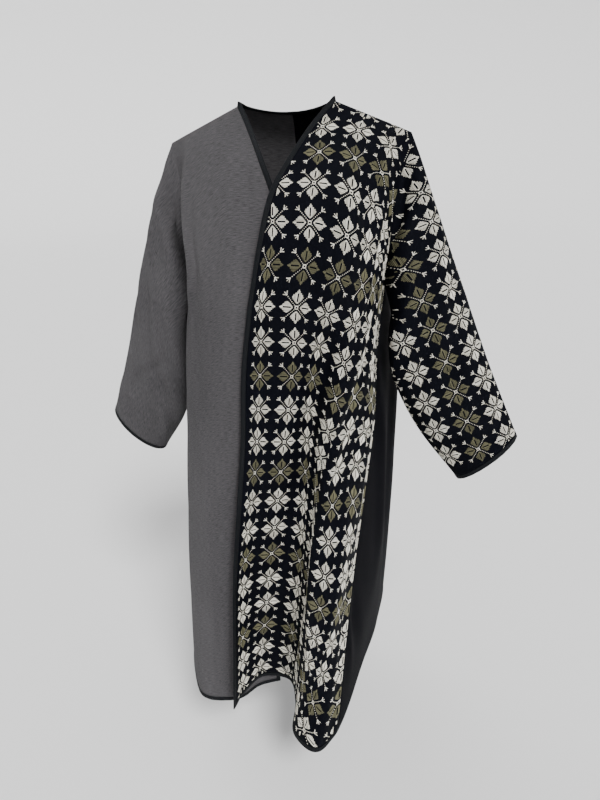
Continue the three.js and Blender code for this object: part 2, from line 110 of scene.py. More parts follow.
# down, x, y, z
ARMHOLE_FRONT = [(0.3, 216, -22, -135), (0.6, 204, -42, -215), (0.85, 196, -50, -286)]
ARMHOLE_BACK = [(0.3, 214, 38, -135), (0.6, 206, 34, -215), (0.85, 198, -10, -290)]
DRAPE_FOLD = {"station": 5.1, "width": 1.1, "depth": 20}
# out, overarm x y z, underarm x y z, front reach, back reach
SLEEVE = {
    "left": [
        (0, (234, 0, -62), (192, -50, -330), 0, 0),
        (0.15, (256, -12, -115), (208, -82, -385), 28, 16),
        (0.3, (292, -16, -215), (206, -106, -440), 45, 24),
        (0.5, (337, -20, -332), (218, -96, -520), 50, 36),
        (0.75, (400, -28, -492), (270, -66, -640), 46, 43),
        (1, (470, -38, -652), (352, -45, -758), 44, 42),
    ],
    "right": [
        (0, (234, 0, -62), (194, -55, -330), 0, 0),
        (0.15, (256, -12, -115), (217, -74, -388), 28, 16),
        (0.3, (292, -7, -215), (229, -84, -440), 45, 26),
        (0.5, (337, 0, -332), (240, -70, -520), 50, 36),
        (0.75, (400, 8, -492), (272, -26, -640), 46, 40),
        (1, (470, 18, -652), (352, 11, -758), 44, 42),
    ],
}
# facing, start, turn, width, depth
SLEEVE_FOLDS = [(-1, 0.12, 1.5, 0.15, 9), (-1, -0.35, 1.15, 0.12, 6), (1, 0.2, 1.3, 0.15, 9)]
BACK_FLUTES = {"depth": 11, "stations": 2.1, "rise": 1.5}
FRONT, BACK = -1, 1

# ---- creases, listed: panel, part, start, end in flat mm, width, depth (a ridge is negative) ----
# Body creases are (across, down) from the front or centre edge; sleeve creases (out, round).
CREASE_BEND = 0.06     # how far a crease bows, as a share of its length
CREASE_FADE = 0.3      # the share of its length over which it fades at each end
CREASE_START = 0.15    # how much of it is there at the very end
LIP_AWAY, LIP_HEIGHT = 1.6, 0.35     # the swell beside a crease, in its widths and depths
# the cloth's slight waviness: height, then the lengths of its waves across and down
WANDER_BROAD = (0.8, 61, 143)
WANDER_FINE = (0.5, 33, 71)
# points over which creases fade in: from a seam, from the shoulder, from the armhole and round a sleeve
CALM_SEAM, CALM_TOP, CALM_ARMHOLE, CALM_ROUND = 4, 4, 3, 5
CREASES = [
    ("front_left", "body", (150, 40), (240, 420), 26, 4.5),
    ("front_left", "body", (300, 120), (250, 470), 20, 4.0),
    ("front_left", "body", (60, 250), (230, 560), 22, 2.5),
    ("front_left", "body", (340, 300), (210, 720), 17, 4.0),
    ("front_left", "body", (290, 560), (330, 1150), 15, -5.0),
    ("front_left", "body", (205, 620), (190, 1240), 16, 4.5),
    ("front_left", "body", (120, 700), (140, 1240), 20, -3.0),
    ("front_left", "body", (45, 800), (60, 1250), 16, 2.5),
    ("front_left", "body", (395, 800), (420, 1240), 18, 4.0),
    ("front_right", "body", (70, 330), (60, 1200), 24, 2.6),
    ("front_right", "body", (130, 150), (150, 900), 30, -3.0),
    ("front_right", "body", (200, 90), (215, 600), 22, 3.2),
    ("front_right", "body", (290, 60), (300, 430), 18, 5.0),
    ("front_right", "body", (238, 60), (300, 400), 15, -6.0),
    ("front_right", "body", (350, 330), (330, 620), 15, 5.0),
    ("front_right", "body", (260, 500), (250, 1230), 22, -3.0),
    ("front_right", "body", (340, 640), (360, 1200), 20, 3.0),
    ("front_right", "body", (20, 700), (30, 1240), 14, -2.0),
    ("back_left", "body", (110, 120), (60, 640), 30, 3.5),
    ("back_left", "body", (230, 60), (260, 560), 24, 4.5),
    ("back_left", "body", (180, 420), (170, 1230), 26, -4.0),
    ("back_left", "body", (300, 460), (330, 1220), 22, 4.5),
    ("back_left", "body", (420, 420), (440, 1100), 20, -3.5),
    ("back_left", "body", (520, 560), (540, 1230), 20, 4.0),
    ("back_left", "body", (600, 800), (610, 1240), 16, -3.0),
    ("back_right", "body", (90, 150), (130, 700), 28, 3.5),
    ("back_right", "body", (240, 70), (210, 520), 22, 4.5),
    ("back_right", "body", (160, 560), (150, 1230), 26, -4.0),
    ("back_right", "body", (290, 430), (310, 1220), 24, 4.0),
    ("back_right", "body", (390, 520), (400, 1200), 20, -3.0),
    ("back_right", "body", (480, 640), (470, 1230), 18, 3.5),
    ("front_left", "sleeve", (50, 55), (285, 238), 18, 14.0),
    ("front_left", "sleeve", (100, 85), (320, 240), 11, -6.0),
    ("front_left", "sleeve", (150, 60), (500, 215), 18, 6.0),
    ("front_left", "sleeve", (330, 25), (620, 120), 18, -3.0),
    ("front_left", "sleeve", (420, 190), (560, 60), 15, 3.0),
    ("front_left", "sleeve", (560, 30), (660, 130), 14, 3.0),
    ("back_left", "sleeve", (60, 60), (330, 230), 18, 5.0),
    ("back_left", "sleeve", (240, 30), (520, 190), 18, 4.0),
    ("back_left", "sleeve", (430, 180), (600, 50), 15, -3.0),
    ("front_right", "sleeve", (58, 50), (285, 238), 17, 21.0),
    ("front_right", "sleeve", (112, 80), (320, 240), 10, -10.0),
    ("front_right", "sleeve", (165, 110), (350, 232), 10, 7.0),
    ("front_right", "sleeve", (150, 40), (520, 160), 16, -5.0),
    ("front_right", "sleeve", (200, 80), (600, 215), 20, 7.0),
    ("front_right", "sleeve", (540, 40), (650, 120), 14, 4.5),
    ("front_right", "sleeve", (560, 170), (660, 200), 12, -4.0),
    ("front_right", "sleeve", (260, 30), (600, 150), 20, -3.5),
    ("front_right", "sleeve", (430, 200), (590, 70), 14, 3.0),
    ("back_right", "sleeve", (50, 60), (340, 220), 18, 5.0),
    ("back_right", "sleeve", (220, 30), (560, 180), 18, 4.0),
    ("back_right", "sleeve", (420, 190), (620, 60), 15, -3.0),
]

# ---- embroidery, millimetres ----
REPEAT = 66.0
ROW_START = 0.9        # the first row's middle, in repeats below the shoulder seam
FIRST_COLUMN = 41.0
# where each flower column runs: its stations at the chest and below the knee
COLUMN_ACROSS = [0, 41, 107, 173, 239, 305, 371, 437]
COLUMN_STATIONS = {"chest": [0, 0.86, 1.86, 2.75, 3.83, 4.85, 5.95, 7.1],
                   "knee": [0, 0.92, 1.84, 2.87, 3.5, 4.45, 5.4, 6.9]}
KNEE = (600.0, 720.0)
YOKE_RULE_ENDS = 230.0     # below this drop the columns turn from the cut's own to the stations
# the front edge and the armhole in the cut: down, across
EDGE_CUT = ([0, 59, 125, 191, 257, 323, 391], [116, 92, 64, 46, 32, 14, 0])
SHOULDER_ACROSS = (116.0, 255.0)
ARMHOLE_FOOT = 385.0
# how far the cloth's grain sags towards the side: station, sag, reached at this drop
GRAIN_SAG = ([0, 2, 2.7, 3.5, 4.5, 5.2, 6, 7], [0, 0, 14, 34, 52, 60, 86, 100])
SAG_START = 260.0
# the same on the sleeve: out, shift outwards and shift round
SLEEVE_GRAIN = ([0, 47, 106, 160, 219, 285, 346, 417, 487, 558, 640],
                [6, 4, 10, 22, 28, 28, 33, 28, 24, 20, 15],
                [30, 24, 24, 16, 7, 3, 7, 16, 21, 23, 25])
THREAD_LIFT = 0.75
THREAD_ROOT = -0.4     # how deep a stitch's foot sits, in lifts
STITCH_STEP = 5.0      # length of a run between two rows of its points
LONG_STEP = 9.0        # the same for the short runs of stems, buds and ring
STITCH_SHOULDER = 0.55
STITCH_END = 0.35
VEIN_HALF = 1.15
MOTIF_SKEW = 0.012     # how unevenly the hand-worked flowers lean
OLIVE_EVERY, OLIVE_ROW = 3, 1
BODY_ROWS, BODY_COLUMNS = range(-1, 19), range(0, 7)
SLEEVE_ROWS, SLEEVE_COLUMNS = range(-1, 5), range(0, 11)
SLEEVE_COLUMN = 3      # the body column that the first sleeve column continues
# finding a stitch's place on the cloth: rounds of search, longest step, nearness and border in points
SEARCH_ROUNDS, SEARCH_STEP = 9, 12
NEAR_ENOUGH, BORDER = 0.6, 0.15
# across from the vein, from, to along the leaf
LEAF_COLUMNS = [
    (1.25, 2.6, 7.4, 27.2),
    (2.75, 4.1, 8.8, 24.4),
    (4.35, 5.65, 10.2, 24.0),
    (5.9, 7.15, 12.0, 21.4),
    (7.4, 8.6, 13.4, 21.2),
    (8.8, 9.8, 15.6, 18.4),
]
LEAF_TIPS = [(6.4, 9.6), (23.4, 29.4)]     # where the vein ends and the halves join
STEM_DOTS = np.arange(6.0, 27.5, 3.55)
DOT = 0.8
# a bud's runs from its foot on the diagonal: turn, across from, to, along from, to
BUD_FOOT = 28.2
BUD = [
    (0, -1.7, 1.7, -1.0, 1.6),
    (0, -0.8, 0.8, 2.2, 6.4),
    (45, -0.9, 0.8, 1.3, 6.6),
    (-45, -0.8, 0.9, 1.3, 6.6),
]
# the square round the flower's middle: across from, to, along from, to
RING = [(-3.3, 3.3, -3.3, -1.4), (-3.3, 3.3, 1.4, 3.3), (-3.3, -1.4, -1.3, 1.3), (1.4, 3.3, -1.3, 1.3)]

# ---- studio, metres and degrees ----
FLOOR_HEIGHT = -1.42
FLOOR_FLAT = 8.0       # radius of its flat part
FLOOR_CURVE = 4.5
WALL_TOP = 9.0
FLOOR_RINGS = [0.0005, 2, 5]     # the flat part's rings, the first one small enough to leave no hole
FLOOR_BENDS = 13
FLOOR_SIDES = 96
SKY = 0.55
TILT, YAW, ROLL = math.radians(24.5), math.radians(12.1), math.radians(-2.8)
CAMERA_PLACE = (0.26286, -1.22614, -0.043)
LENS, SENSOR = 27, 36


# ---- curves ----
def hermite(a, b, leave, arrive, s):
    """The curve from a to b at share s, with the slopes it leaves and arrives with."""
    s2, s3 = s * s, s * s * s
    places = (2 * s3 - 3 * s2 + 1) * a + (3 * s2 - 2 * s3) * b
    return places + (s3 - 2 * s2 + s) * leave + (s3 - s2) * arrive


def through(knots, values, x):
    """The smooth curve through the values at the knots, read at x."""
    k = np.asarray(knots, float)
    v = np.asarray(values, float)
    last = len(k) - 1
    before = np.maximum(np.arange(last + 1) - 1, 0)
    after = np.minimum(np.arange(last + 1) + 1, last)
    gap = k[after] - k[before]
    slopes = (v[after] - v[before]) / (gap[:, None] if v.ndim == 2 else gap)
    x = np.atleast_1d(np.asarray(x, float))
    i = np.clip(np.searchsorted(k, x, side="left") - 1, 0, last - 1)
    span = k[i + 1] - k[i]
    s = (x - k[i]) / span
    if v.ndim == 2:
        span, s = span[:, None], s[:, None]
    return hermite(v[i], v[i + 1], slopes[i] * span, slopes[i + 1] * span, s)


def smooth(x):
    x = np.clip(x, 0, 1)
    return x * x * (3 - 2 * x)


# ---- one half of the garment ----
class Half:
    """One half of the garment, as a surface over stations (front edge to centre back) and drops."""
    def __init__(self, name, side, front, back):
        self.name, self.side = name, side
        rows = front + back
        self.seam, self.centre = len(front) - 1, len(rows) - 1
        self.order = np.arange(len(rows))
        self.x = np.array([[p[0] for p in at] for _, at in rows], float).T
        self.y = np.array([[p[1] for p in at] for _, at in rows], float).T
        self.dip = np.array([dip for dip, _ in rows], float)
        flip = np.array([side, 1, 1])
        corner, tip = SHOULDER_POINT * flip, SHOULDER_TIP * flip
        ends = {"neck": (corner, NECK[name], 0, (1, 1, 1)),
                FRONT: (tip, ARMHOLE_FRONT, self.seam, flip),
                BACK: (tip, ARMHOLE_BACK, self.seam, flip)}
        self.borders = {}
        for key, (start, table, station, turn) in ends.items():
            knots = [0] + [row[0] for row in table] + [1]
            points = [start] + [np.array(row[1:], float) * turn for row in table]
            points.append(self.skirt(np.array([float(station)]), CHEST)[0])
            self.borders[key] = (knots, points)
        sleeve = SLEEVE[name]
        self.outs = [row[0] for row in sleeve]
        self.over_rows = [np.array(row[1], float) * flip for row in sleeve]
        self.under_rows = [np.array(row[2], float) * flip for row in sleeve]
        self.reach = {FRONT: [row[3] for row in sleeve], BACK: [row[4] for row in sleeve]}

    def skirt(self, st, down):
        fall = max(0.0, (down - CHEST) / (HEM - CHEST)) ** 2
        x = through(self.order, through(CLOTH_DOWN, self.x, down)[0], st)
        y = through(self.order, through(CLOTH_DOWN, self.y, down)[0], st)
        dip = through(self.order, self.dip, st)
        flute = np.cos(2 * np.pi * (self.centre - st) / BACK_FLUTES["stations"])
        behind = np.clip((st - self.seam - 1) / BACK_FLUTES["rise"], 0, 1)
        z = through(CLOTH_DOWN, HEIGHTS, down)[0] - dip * fall
        return np.stack([x, y + BACK_FLUTES["depth"] * fall * behind * flute, z], 1)

    def upper_edge(self, st):
        flip = np.array([self.side, 1, 1])
        along = (st / self.seam)[:, None]
        front = SHOULDER_POINT + (SHOULDER_TIP - SHOULDER_POINT) * along
        share = (st - self.seam) / (self.centre - self.seam)
        back = SHOULDER_TIP + (SHOULDER_POINT - SHOULDER_TIP) * (share / (1 - NECK_SHARE))[:, None]
        angle = (share - 1 + NECK_SHARE) / NECK_SHARE * np.pi / 2
        neck = np.stack([SHOULDER_POINT[0] * np.cos(angle), BACK_NECK[1] * np.sin(angle),
                         SHOULDER_POINT[2] + (BACK_NECK[2] - SHOULDER_POINT[2]) * np.sin(angle) ** 2], 1)
        behind = np.where((share < 1 - NECK_SHARE)[:, None], back, neck)
        return np.where((st <= self.seam)[:, None], front, behind) * flip

    def raw_yoke(self, st, down, facing):
        above, below = self.upper_edge(st), self.skirt(st, CHEST)
        step = 10.0
        leaving = np.array([0, facing * SHOULDER_ROUND, SHOULDER_FALL * SHOULDER_ROUND])
        arriving = (self.skirt(st, CHEST + step) - below) * (CHEST / step)
        return hermite(above, below, leaving, arriving, down / CHEST)

    def yoke(self, st, down, facing):
        s = down / CHEST
        point = self.raw_yoke(st, down, facing)
        seam_raw = self.raw_yoke(np.array([float(self.seam)]), down, facing)[0]
        arm_pull = through(*self.borders[facing], s)[0] - seam_raw
        if facing == FRONT:
            across = (st / self.seam)[:, None]
            edge_raw = self.raw_yoke(np.array([0.0]), down, facing)[0]
            neck_pull = through(*self.borders["neck"], s)[0] - edge_raw
            point = point + neck_pull * (1 - across) ** 2 + arm_pull * across ** 4
            off = (st - DRAPE_FOLD["station"]) / DRAPE_FOLD["width"]
            point[:, 1] -= DRAPE_FOLD["depth"] * np.exp(-off * off) * max(0.0, math.sin(math.pi * s)) ** 0.7
            return point
        across = ((st - self.seam) / (self.centre - self.seam))[:, None]
        return point + arm_pull * (1 - across) ** 4

    def body(self, st, down, facing):
        return self.yoke(st, down, facing) if down < CHEST else self.skirt(st, down)

    def ring(self, round_, out, facing):
        over = through(self.outs, self.over_rows, [out, min(out + 0.05, 1), max(out - 0.05, 0)])
        top, ahead = over[0], over[1] - over[2]
        bottom = through(self.outs, self.under_rows, out)[0]
        normal = np.cross(ahead, top - bottom)
        normal /= np.linalg.norm(normal)
        folds = np.zeros_like(round_)
        for faces, start, turn, width, depth in SLEEVE_FOLDS:
            if faces == facing:
                off = (round_ - start - turn * out) / width
                folds += depth * np.exp(-off * off) * math.sin(math.pi * out ** 0.6)
        reach = through(self.outs, self.reach[facing], out)[0]
        stand = (reach - folds) * np.sin(np.pi * round_)
        blend = ((1 - np.cos(np.pi * round_)) / 2)[:, None]
        return top + (bottom - top) * blend + normal * (np.sign(normal[1]) * facing * stand)[:, None]

    def sleeve(self, downs, out, facing, armhole, root):
        return self.ring(downs / CHEST, out, facing) + (armhole - root) * (1 - out) ** 6


# ---- a panel: body grid [row, column] and sleeve grid [ring, row of the yoke] ----
def vertex_normals(points, quads):
    n = np.zeros_like(points)
    face = np.cross(points[quads[:, 2]] - points[quads[:, 0]], points[quads[:, 3]] - points[quads[:, 1]])
    for k in range(4):
        np.add.at(n, quads[:, k], face)
    return n / np.maximum(np.linalg.norm(n, axis=1, keepdims=True), 1e-9)


def grid_quads(index):
    return np.stack([index[:-1, :-1], index[:-1, 1:], index[1:, 1:], index[1:, :-1]], -1).reshape(-1, 4)


def crease_push(panel, part, a, b):
    """How far each flat point moves out for the creases and the cloth's waviness."""
    push = np.zeros_like(a)
    for name, where, start, end, width, depth in CREASES:
        if name != panel or where != part:
            continue
        s, e = np.array(start, float), np.array(end, float)
        line = e - s
        t = ((a - s[0]) * line[0] + (b - s[1]) * line[1]) / (line @ line)
        length = np.linalg.norm(line)
        bend = CREASE_BEND * length * np.sin(np.pi * np.clip(t, 0, 1)) * (1 if depth > 0 else -1)
        off = ((a - s[0]) * line[1] - (b - s[1]) * line[0]) / length - bend
        fade = smooth(t / CREASE_FADE + CREASE_START) * smooth((1 - t) / CREASE_FADE + CREASE_START)
        valley = np.exp(-(off / width) ** 2)
        lips = np.exp(-((np.abs(off) - LIP_AWAY * width) / width) ** 2)
        push += depth * fade * (-valley + LIP_HEIGHT * lips)
    broad, broad_across, broad_down = WANDER_BROAD
    fine, fine_across, fine_down = WANDER_FINE
    wander = (broad * np.sin(a / broad_across + 1.3 * np.sin(b / 170 + 0.5)) * np.sin(b / broad_down + 0.8)
              + fine * np.sin(a / fine_across - b / 97 + 2.1) * np.sin(b / fine_down + a / 210))
    return push + wander


class Panel:
    """A front or a back with its half of the sleeve, as one sheet of points."""
    def __init__(self, half, facing):
        self.half, self.facing = half, facing
        self.name = ("front_" if facing == FRONT else "back_") + half.name
        if facing == FRONT:
            st = np.linspace(0, half.seam, half.seam * FRONT_STEPS + 1)
        else:
            st = np.linspace(half.centre, half.seam, (half.centre - half.seam) * BACK_STEPS + 1)
        self.st = st
        self.downs = np.concatenate([np.linspace(0, CHEST, YOKE_ROWS + 1),
                                     np.linspace(CHEST, HEM, SKIRT_ROWS + 1)[1:]])
        body = np.stack([half.body(st, d, facing) for d in self.downs])
        yoke_downs = self.downs[:YOKE_ROWS + 1]
        armhole = body[:YOKE_ROWS + 1, -1]
        root = half.ring(yoke_downs / CHEST, 0.0, facing)
        outs = np.linspace(0, 1, SLEEVE_RINGS + 1)
        sleeve = np.stack([half.sleeve(yoke_downs, o, facing, armhole, root) for o in outs])
        sleeve[0] = armhole
        rows, cols = body.shape[:2]
        self.body_index = np.arange(rows * cols).reshape(rows, cols)
        extra = rows * cols + np.arange(SLEEVE_RINGS * (YOKE_ROWS + 1)).reshape(SLEEVE_RINGS, YOKE_ROWS + 1)
        self.sleeve_index = np.concatenate([self.body_index[:YOKE_ROWS + 1, -1][None], extra])
        points = np.concatenate([body.reshape(-1, 3), sleeve[1:].reshape(-1, 3)])
        quads = np.concatenate([grid_quads(self.body_index), grid_quads(self.sleeve_index)[:, ::-1]])
        if half.side * facing < 0:
            quads = quads[:, ::-1]
        self.quads = quads
        self.flats(body, sleeve)
        normals = vertex_normals(points, quads)
        push = np.zeros(len(points))
        columns, lines = np.meshgrid(np.arange(cols), np.arange(rows))
        sides = cols - 1 - columns
        if facing == BACK:
            sides = np.minimum(sides, columns)
        mask = smooth(sides / CALM_SEAM) * smooth(lines / CALM_TOP)
        push[self.body_index] = crease_push(self.name, "body", self.a_body, self.b_body) * mask
        rings, rounds = np.meshgrid(np.arange(SLEEVE_RINGS + 1), np.arange(YOKE_ROWS + 1), indexing="ij")
        mask = smooth(rings / CALM_ARMHOLE) * smooth(np.minimum(rounds, YOKE_ROWS - rounds) / CALM_ROUND)
        sleeve_push = crease_push(self.name, "sleeve", self.a_sleeve, self.b_sleeve) * mask
        push[self.sleeve_index[1:]] = sleeve_push[1:]
        self.points = points + normals * push[:, None]
        self.normals = vertex_normals(self.points, quads)

    def flats(self, body, sleeve):
        """Flat coordinates: across and down on the body, out and round on the sleeve."""
        half = self.half
        rows = len(self.downs)
        down = np.repeat(self.downs[:, None], len(self.st), 1)
        if self.facing == FRONT:
            across = np.zeros((rows, len(self.st)))
            step = np.linalg.norm(np.diff(body, axis=1), axis=2)
            arc = np.concatenate([np.zeros((rows, 1)), np.cumsum(step, axis=1)], axis=1)
            knee = through(COLUMN_STATIONS["knee"], COLUMN_ACROSS, self.st)
            chest = through(COLUMN_STATIONS["chest"], COLUMN_ACROSS, self.st)
            for r, drop in enumerate(self.downs):
                lower = chest + (knee - chest) * smooth((drop - KNEE[0]) / (KNEE[1] - KNEE[0]))
                left = np.interp(drop, *EDGE_CUT)
                right = SHOULDER_ACROSS[1] + (ARMHOLE_FOOT - SHOULDER_ACROSS[1]) * drop / CHEST
                upper = left + (right - left) * arc[r] / arc[r, -1]
                turned = smooth((drop - YOKE_RULE_ENDS) / (CHEST - YOKE_RULE_ENDS))
                across[r] = upper + (lower - upper) * turned
            sag = through(*GRAIN_SAG, self.st)
            down = down - sag * np.minimum(1, down / SAG_START)
        else:
            step = np.linalg.norm(np.diff(body, axis=1), axis=2)
            across = np.concatenate([np.zeros((rows, 1)), np.cumsum(step, axis=1)], axis=1)
        self.a_body, self.b_body = across, down
        tip, cuff = sleeve[0, 0], sleeve[-1, 0]
        axis = (cuff - tip) / np.linalg.norm(cuff - tip)
        self.a_sleeve = (sleeve - tip) @ axis
        step = np.diff(sleeve, axis=1)
        along = step @ axis
        turn = np.sqrt(np.maximum((step ** 2).sum(2) - along ** 2, 0))
        self.b_sleeve = np.concatenate([np.zeros((len(sleeve), 1)), np.cumsum(turn, axis=1)], axis=1)
        if self.facing == FRONT:
            outs, outward, onward = SLEEVE_GRAIN
            shift = np.interp(self.a_sleeve, outs, outward), np.interp(self.a_sleeve, outs, onward)
            self.a_sleeve, self.b_sleeve = self.a_sleeve + shift[0], self.b_sleeve + shift[1]

    def area(self):
        p, q = self.points, self.quads
        face = np.cross(p[q[:, 2]] - p[q[:, 0]], p[q[:, 3]] - p[q[:, 1]])
        return 0.5 * np.linalg.norm(face, axis=1).sum() * MM * MM

    def shell(self):
        n = len(self.points)
        half_wall = self.normals * SHELL / 2
        verts = np.concatenate([self.points + half_wall, self.points - half_wall])
        edges = np.concatenate([self.quads[:, [k, (k + 1) % 4]] for k in range(4)])
        key = edges[:, 0].astype(np.int64) * n + edges[:, 1]
        back = edges[:, 1].astype(np.int64) * n + edges[:, 0]
        rim = edges[~np.isin(key, back)]
        walls = np.stack([rim[:, 1], rim[:, 0], rim[:, 0] + n, rim[:, 1] + n], 1)
        faces = np.concatenate([self.quads, self.quads[:, ::-1] + n, walls])
        flat = np.zeros((n, 2))
        flat[self.sleeve_index] = np.stack([self.a_sleeve + SHOULDER_ACROSS[1], self.b_sleeve], -1)
        flat[self.body_index] = np.stack([self.a_body, self.b_body], -1)
        return verts, faces, np.concatenate([flat, flat]) * MM


# ---- objects ----
def make_object(name, verts, faces, material, flat=None, tint=None):
    mesh = bpy.data.meshes.new(name)
    faces = np.asarray(faces)
    mesh.vertices.add(len(verts))
    mesh.vertices.foreach_set("co", (np.asarray(verts) * MM).ravel())
    size = faces.shape[1]
    mesh.loops.add(faces.size)
    mesh.loops.foreach_set("vertex_index", faces.ravel().astype(np.int32))
    mesh.polygons.add(len(faces))
    mesh.polygons.foreach_set("loop_start", np.arange(0, faces.size, size, dtype=np.int32))
    mesh.update(calc_edges=True)
    if flat is not None:
        layer = mesh.uv_layers.new(name="flat")
        layer.data.foreach_set("uv", np.asarray(flat)[faces.ravel()].ravel())
    if tint is not None:
        layer = mesh.attributes.new("tint", "FLOAT", "POINT")
        layer.data.foreach_set("value", np.asarray(tint, float))
    mesh.validate()
    mesh.polygons.foreach_set("use_smooth", np.ones(len(mesh.polygons), bool))
    mesh.materials.append(material)
    obj = bpy.data.objects.new(name, mesh)
    bpy.context.scene.collection.objects.link(obj)
    return obj


def colour(r, g, b):
    def line(c):
        c /= 255
        return c / 12.92 if c <= 0.04045 else ((c + 0.055) / 1.055) ** 2.4
    return (line(r), line(g), line(b), 1)


class Shader:
    """A small helper over one material's nodes."""
    def __init__(self, name, roughness, sheen=0.0):
        self.material = bpy.data.materials.new(name)
        self.material.use_nodes = True
        self.nodes = self.material.node_tree.nodes
        self.links = self.material.node_tree.links
        self.surface = self.nodes["Principled BSDF"]
        self.surface.inputs["Roughness"].default_value = roughness
        self.surface.inputs["Specular IOR Level"].default_value = 0.06
        self.surface.inputs["Sheen Weight"].default_value = sheen
        self.surface.inputs["Sheen Roughness"].default_value = 0.5
        self.where = self.nodes.new("ShaderNodeUVMap")
        self.where.uv_map = "flat"

    def stretch(self, x, y, turn=0.0):
        node = self.nodes.new("ShaderNodeMapping")
        node.inputs["Scale"].default_value = (x, y, 1)
        node.inputs["Rotation"].default_value = (0, 0, turn)
        self.links.new(self.where.outputs["UV"], node.inputs["Vector"])
        return node.outputs["Vector"]

    def noise(self, vector, detail=3.0, rough=0.6):
        node = self.nodes.new("ShaderNodeTexNoise")
        node.inputs["Scale"].default_value = 1.0
        node.inputs["Detail"].default_value = detail
        node.inputs["Roughness"].default_value = rough
        self.links.new(vector, node.inputs["Vector"])
        return node.outputs["Fac"]

    def wave(self, vector):
        node = self.nodes.new("ShaderNodeTexWave")
        node.inputs["Scale"].default_value = 1.0
        node.inputs["Distortion"].default_value = 1.2
        node.inputs["Detail"].default_value = 1.0
        self.links.new(vector, node.inputs["Vector"])
        return node.outputs["Fac"]

    def math(self, kind, a, b):
        node = self.nodes.new("ShaderNodeMath")
        node.operation = kind
        for socket, value in zip(node.inputs, (a, b)):
            if isinstance(value, (int, float)):
                socket.default_value = value
            else:
                self.links.new(value, socket)
        return node.outputs["Value"]

    def ramp(self, fac, low, high, start=0.3, end=0.7):
        node = self.nodes.new("ShaderNodeValToRGB")
        node.color_ramp.elements[0].color = low
        node.color_ramp.elements[1].color = high
        node.color_ramp.elements[0].position = start
        node.color_ramp.elements[1].position = end
        self.links.new(fac, node.inputs["Fac"])
        self.links.new(node.outputs["Color"], self.surface.inputs["Base Color"])

    def bump(self, height, distance, strength=1.0):
        node = self.nodes.new("ShaderNodeBump")
        node.inputs["Distance"].default_value = distance
        node.inputs["Strength"].default_value = strength
        self.links.new(height, node.inputs["Height"])
        self.links.new(node.outputs["Normal"], self.surface.inputs["Normal"])


def grey_twill():
    s = Shader("grey_twill", 0.92, 0.03)
    slubs = s.noise(s.stretch(70, 760), 4.0, 0.65)
    flecks = s.noise(s.stretch(900, 1300), 2.0)
    broad = s.noise(s.stretch(5, 3), 2.0)
    mixed = s.math("ADD", s.math("MULTIPLY", slubs, 0.55), s.math("MULTIPLY", flecks, 0.3))
    mixed = s.math("ADD", mixed, s.math("MULTIPLY", broad, 0.15))
    s.ramp(mixed, colour(54, 53, 55), colour(94, 92, 94), 0.38, 0.62)
    ribs = s.wave(s.stretch(420, 420, 0.9))
    s.bump(s.math("ADD", ribs, s.math("MULTIPLY", flecks, 1.2)), 0.0004, 0.5)
    return s.material


def crepe(name, low, high, sheen, roughness):
    s = Shader(name, roughness, sheen)
    grain = s.noise(s.stretch(1100, 1400), 3.0)
    broad = s.noise(s.stretch(8, 5), 2.0)
    s.ramp(s.math("ADD", s.math("MULTIPLY", grain, 0.7), s.math("MULTIPLY", broad, 0.3)), low, high)
    s.bump(grain, 0.0004, 0.5)
    return s.material


def thread(name, low, high):
    s = Shader(name, 0.6, 0.05)
    node = s.nodes.new("ShaderNodeAttribute")
    node.attribute_name = "tint"
    fibre = s.noise(s.stretch(1500, 1500), 2.0)
    s.ramp(s.math("ADD", s.math("MULTIPLY", node.outputs["Fac"], 0.6), s.math("MULTIPLY", fibre, 0.4)),
           low, high, 0.1, 0.9)
    s.bump(fibre, 0.0004, 0.6)
    return s.material


def tape():
    s = Shader("binding_tape", 0.62, 0.0)
    ribs = s.wave(s.stretch(900, 260, 0.6))
    grain = s.noise(s.stretch(900, 900), 2.0)
    s.ramp(s.math("ADD", s.math("MULTIPLY", ribs, 0.4), s.math("MULTIPLY", grain, 0.6)),
           colour(14, 15, 17), colour(32, 34, 37), 0.25, 0.75)
    s.bump(ribs, 0.0003, 0.5)
    return s.material


# ---- binding: a folded tape beyond an edge ----
TAPE_SECTION = [(-0.2, -0.82), (1.5, -0.98), (BINDING_WIDTH * 0.55, -0.88), (BINDING_WIDTH - 1.2, -1.0),
                (BINDING_WIDTH, -0.35), (BINDING_WIDTH, 0.35), (BINDING_WIDTH - 1.2, 1.0),
                (BINDING_WIDTH * 0.55, 0.88), (1.5, 0.98), (-0.2, 0.82)]


